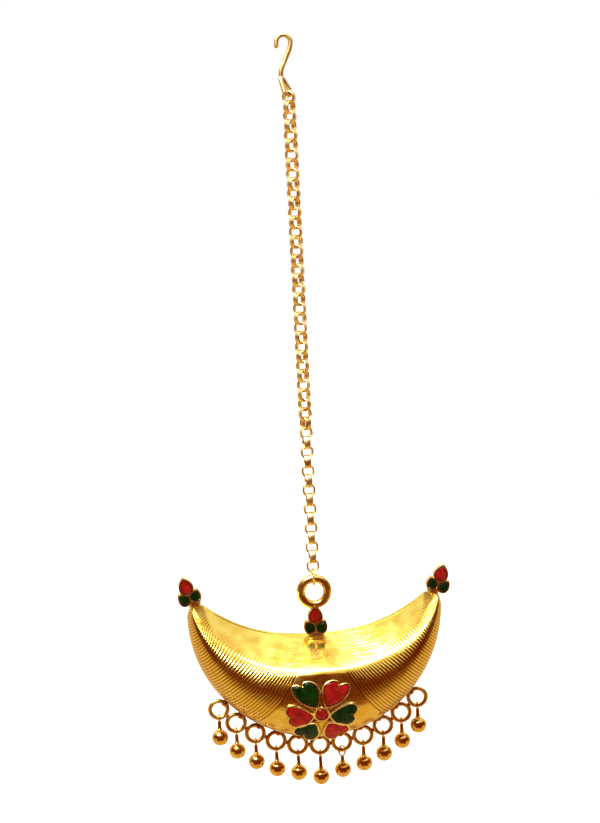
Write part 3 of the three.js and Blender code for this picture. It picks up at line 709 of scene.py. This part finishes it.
# under the crown, left tip and right tip: x, depth, height, half width, half depth, half height
SOLDER_FEET = [(0, 1.4, 8.45, 1.6, 0.7, 0.85), (-22.6, 1.2, 0.9, 1.2, 0.8, 1.2), (22.6, 1.2, 1.0, 1.2, 0.8, 1.1)]
# colour, x, y, turn in degrees, width, length
DROPS = [("red", 0, 1.25, 0, 2.05, 2.75), ("green_left", -1.13, -1.1, 30, 1.65, 2.1),
         ("green_right", 1.13, -1.1, -30, 1.65, 2.1)]


def drop_outline(width, length, steps=48):
    t = 2 * np.pi * np.arange(steps) / steps
    tip = np.cos(t)
    return np.stack([width / 2 * 1.285 * np.sin(t) * np.abs(np.sin(t / 2)) ** 0.9, length / 2 * tip], -1)


def upright_lay(x, h, back, lean):
    c, s = math.cos(math.radians(lean)), math.sin(math.radians(lean))
    return lambda px, py, pz: on_pendant(x + px * c + py * s, back + np.asarray(pz), h + px * s - py * c)


def solder_foot(x, d, h, half_x, half_d, half_h):
    """A rounded fillet of solder between a setting and the crescent."""
    points, faces = bead(np.zeros(3), 1.0, 1.0, 20, 12)
    points = np.sign(points) * np.abs(points) ** 0.75
    return on_pendant(x + points[:, 0] * half_x, d - points[:, 1] * half_d, h - points[:, 2] * half_h), faces


settings = []
for prefix, lay in (("crown", upright_lay(0, CROWN_H, CROWN_BACK, 0)),
                    ("left_tip", upright_lay(-TIP_X, TIP_H - LEFT_TIP_RISE, TIP_BACK, -TIP_LEAN)),
                    ("right_tip", upright_lay(TIP_X, TIP_H, TIP_BACK, TIP_LEAN))):
    for tag, x, y, turn, width, length in DROPS:
        c, s = math.cos(math.radians(turn)), math.sin(math.radians(turn))

        def at(px, py, pz, x=x, y=y, c=c, s=s, lay=lay):
            return lay(x + px * c - py * s, y + px * s + py * c, pz)

        outline = drop_outline(width, length)
        settings.append(cup(outline, PLAY, SMALL_BEZEL, 0.0, PLATE + RIM, PLATE, at))
        fill = enamel_fill(outline, PLATE + PLAY, PLATE + RIM - 0.05, PLATE + RIM + 0.2, at)
        green = tag.startswith("green")
        solid(f"{prefix}_{tag}_fill", [fill], green_enamel if green else red_enamel, "pendant",
              [f"{prefix}_{tag}_stone"], crease=70.0)
for place_and_size in SOLDER_FEET:
    settings.append(solder_foot(*place_and_size))
# the settings share the paler gold, a painted highlight
solid("drop_settings", settings, gold_painted_pale, "pendant", ["crescent_body"])


# ---- Fringe ----
# Eleven hollow brass balls, each with a flared neck, a short stem and a wire loop closed round its ring,
# hang plumb along the lower edge. They are stamped in halves, soldered and plated.

DROP_LOOP_R, DROP_LOOP_WIRE = 0.62, 0.36
BALL_R, BALL_BELOW, LONG_BELOW = 1.56, 3.75, 4.5
STEM_R, NECK_R = 0.36, 0.56


def ball_drop(turn, loop_r, stretch, play, below):
    half = stretch / 2 + loop_r
    loop_top = RING_WIRE / 2 + play + DROP_LOOP_WIRE / 2
    loop_foot = loop_top - 2 * half
    stem_top = max(loop_foot, -below + 2.2)
    profile = [(0.0, -below - BALL_R)]
    for a in np.radians(np.linspace(8, 152, 20)):
        profile.append((BALL_R * math.sin(a), -below - BALL_R * math.cos(a)))
    profile += [(NECK_R, -below + 1.5), (NECK_R - 0.1, -below + 1.6), (STEM_R + 0.06, -below + 1.75),
                (STEM_R + 0.01, -below + 1.95),
                (STEM_R, stem_top - 0.08), (STEM_R - 0.08, stem_top), (0.0, stem_top)]
    around = 32
    points, faces = [(0, 0, profile[0][1])], []
    for r, z in profile[1:-1]:
        for j in range(around):
            a = 2 * math.pi * j / around
            points.append((r * math.cos(a), r * math.sin(a), z))
    points.append((0, 0, profile[-1][1]))
    for j in range(around):
        k = (j + 1) % around
        faces.append((0, 1 + k, 1 + j))
        for i in range(len(profile) - 3):
            row, higher = 1 + i * around, 1 + (i + 1) * around
            faces.append((row + j, row + k, higher + k, higher + j))
        base = 1 + (len(profile) - 3) * around
        faces.append((base + j, base + k, len(points) - 1))
    loop = turned(oval_ring(loop_r, stretch, 32), about_z=turn) + (0, 0, loop_top - half)
    return [(np.array(points), faces), sweep(loop, DROP_LOOP_WIRE / 2, 10, True)]


# stamped and tumbled balls: mirror bright with soft dents
gold_ball = gold_plate("gold_plated_brass_balls", "#FCD87A", "#F2BE5E", 0.15, 0.24, 1.6, 0.04, shade_in_crevices=0.5)
for i in range(RING_COUNT):
    x, h = ring_place(i)
    hang_from = on_pendant(x, RING_DEPTH, h + RING_R)
    below = LONG_BELOW if i == 5 else BALL_BELOW
    parts = ball_drop(45, 0.92, 0.1, 0.2, below) if i == 6 else ball_drop(90, DROP_LOOP_R, 0, 0.06, below)
    solid(f"fringe_ball_{i + 1:02d}", [(p + hang_from, f) for p, f in parts], gold_ball, "pendant",
          [f"ball_drop_{i + 1:02d}"])


# ---- Stage, light and camera ----
# A plain white floor and open white surroundings, a soft light overhead and one in front, and a cloth
# round the piece, brown at its own height and pale above and below, which only the polished metal shows.

FLOOR_Z = -0.24
floor_mesh = bpy.data.meshes.new("floor")
floor_mesh.from_pydata([(-6, -6, FLOOR_Z), (6, -6, FLOOR_Z), (6, 6, FLOOR_Z), (-6, 6, FLOOR_Z)], [], [(0, 1, 2, 3)])
floor = bpy.data.objects.new("floor", floor_mesh)
floor_paint = bpy.data.materials.new("white_floor_paint")
floor_paint.use_nodes = True
floor_shader = floor_paint.node_tree.nodes["Principled BSDF"]
floor_shader.inputs["Base Color"].default_value = colour("#F4F4F4")
floor_shader.inputs["Roughness"].default_value = 0.9
floor_shader.inputs["Emission Color"].default_value = colour("#FFFFFF")
floor_shader.inputs["Emission Strength"].default_value = 0.5
floor_mesh.materials.append(floor_paint)
bpy.context.scene.collection.objects.link(floor)

SURROUND_R, SURROUND_LOW, SURROUND_SPAN = 0.8, -0.22, 110
SEEN_FROM = -0.125
surround_points, surround_faces, rises, asides = [], [], [], []
RISES = (-89, -75, -60, -48, -40, -34, -28, -22, -17, -12, -7, 0, 8, 16, 24, 31, 38)
for i in range(73):
    turn = -180 + 5 * i
    for rise in RISES:
        drop = math.tan(math.radians(rise))
        r = min(SURROUND_R, (SURROUND_LOW - SEEN_FROM) / drop if rise < 0 else SURROUND_R)
        a = math.radians(turn)
        height = SURROUND_LOW if r < SURROUND_R else SEEN_FROM + r * drop
        surround_points.append((r * math.sin(a), -r * math.cos(a), height))
        rises.append(rise)
        asides.append(float(smoothstep(abs(turn), 40.0, 75.0) if rise < -8 else smoothstep(abs(turn), 85.0, 130.0)))
    if i:
        for j, rise in enumerate(RISES[:-1]):
            if abs(turn - 2.5) < SURROUND_SPAN or rise < 16:
                n = len(RISES)
                surround_faces.append((n * (i - 1) + j, n * i + j, n * i + j + 1, n * (i - 1) + j + 1))
surround_mesh = bpy.data.meshes.new("warm_surround")
surround_mesh.from_pydata(surround_points, [], surround_faces)
surround_mesh.attributes.new("rise", "FLOAT", "POINT").data.foreach_set("value", np.array(rises, np.float32))
surround_mesh.attributes.new("aside", "FLOAT", "POINT").data.foreach_set("value", np.array(asides, np.float32))
surround = bpy.data.objects.new("warm_surround", surround_mesh)
surround_paint = bpy.data.materials.new("brown_studio_cloth")
surround_paint.use_nodes = True
cloth = surround_paint.node_tree
cloth.nodes.remove(cloth.nodes["Principled BSDF"])
cloth_rise = add_node(cloth, "ShaderNodeAttribute", attribute_name="rise").outputs["Fac"]
cloth_level = add_node(cloth, "ShaderNodeMapRange", {"Value": cloth_rise}, {"From Min": -90.0, "From Max": 40.0})
cloth_ramp_node = add_node(cloth, "ShaderNodeValToRGB", {"Fac": cloth_level.outputs["Result"]})
cloth_ramp = cloth_ramp_node.color_ramp
CLOTH_TONES = ((-90, "#A06030"), (-68, "#D8A868"), (-60, "#F0D4A0"), (-54, "#E8C488"), (-47, "#94552A"),
               (-24, "#6A2C10"), (24, "#6A2C10"), (31, "#A8642E"), (35, "#F4DCA8"), (39, "#FFEEC8"))
cloth_ramp.elements[0].position, cloth_ramp.elements[1].position = 0.0, 1.0
for index, (rise, code) in enumerate(CLOTH_TONES):
    place = (rise + 90) / 130
    stop = cloth_ramp.elements[0] if index == 0 else cloth_ramp.elements.new(place)
    stop.color = colour(code)
cloth_ramp.elements[len(CLOTH_TONES)].color = colour("#FFEEC8")
cloth_aside = add_node(cloth, "ShaderNodeAttribute", attribute_name="aside").outputs["Fac"]
cloth_tone = add_node(cloth, "ShaderNodeMix", {"Factor": cloth_aside, 6: cloth_ramp_node.outputs["Color"]},
                      {7: colour("#E8C488")}, data_type="RGBA")
cloth_glow = add_node(cloth, "ShaderNodeEmission", {"Color": cloth_tone.outputs[2]}, {"Strength": 1.0})
cloth.links.new(cloth_glow.outputs["Emission"], cloth.nodes["Material Output"].inputs["Surface"])
surround_mesh.materials.append(surround_paint)
bpy.context.scene.collection.objects.link(surround)
surround.visible_camera = False
surround.visible_shadow = False
surround.visible_diffuse = False

world = bpy.data.worlds.new("white_studio")
world.use_nodes = True
world.node_tree.nodes["Background"].inputs["Color"].default_value = colour("#FFFFFF")
world.node_tree.nodes["Background"].inputs["Strength"].default_value = 1.0
bpy.context.scene.world = world


def soft_light(name, place, aim, size, power):
    lamp = bpy.data.lights.new(name, "AREA")
    lamp.shape, lamp.size, lamp.energy = "DISK", size, power
    obj = bpy.data.objects.new(name, lamp)
    obj.location = place
    obj.rotation_euler = (Vector(aim) - Vector(place)).to_track_quat("-Z", "Y").to_euler()
    bpy.context.scene.collection.objects.link(obj)


soft_light("overhead_light", (0.0, -0.03, 0.45), (0, 0, -0.12), 0.3, 5.0)
soft_light("front_softbox", (-0.2, -0.36, 0.36), (0, 0, -0.12), 0.25, 5.2)

CAMERA_DISTANCE = 0.6
CAMERA_TARGET = Vector((-0.000919, 0.0000914, -0.0697055))
CAMERA_TURN, CAMERA_RISE, CAMERA_ROLL = map(math.radians, (-4.4, 4.0, 2.95))
back = Vector((math.sin(CAMERA_TURN) * math.cos(CAMERA_RISE), -math.cos(CAMERA_TURN) * math.cos(CAMERA_RISE),
               math.sin(CAMERA_RISE)))
right = Vector((0, 0, 1)).cross(back).normalized()
up = back.cross(right)
rolled_right = right * math.cos(CAMERA_ROLL) - up * math.sin(CAMERA_ROLL)
rolled_up = up * math.cos(CAMERA_ROLL) + right * math.sin(CAMERA_ROLL)
camera_data = bpy.data.cameras.new("camera")
camera_data.sensor_width = 36.0
camera_data.lens = 36.0 * (CAMERA_DISTANCE * 1000 / 0.1875) / 823
camera = bpy.data.objects.new("camera", camera_data)
camera_frame = Matrix((rolled_right, rolled_up, back)).transposed().to_4x4()
camera.matrix_world = Matrix.Translation(CAMERA_TARGET + back * CAMERA_DISTANCE) @ camera_frame
bpy.context.scene.collection.objects.link(camera)
bpy.context.scene.camera = camera
bpy.context.scene.view_settings.view_transform = "Standard"
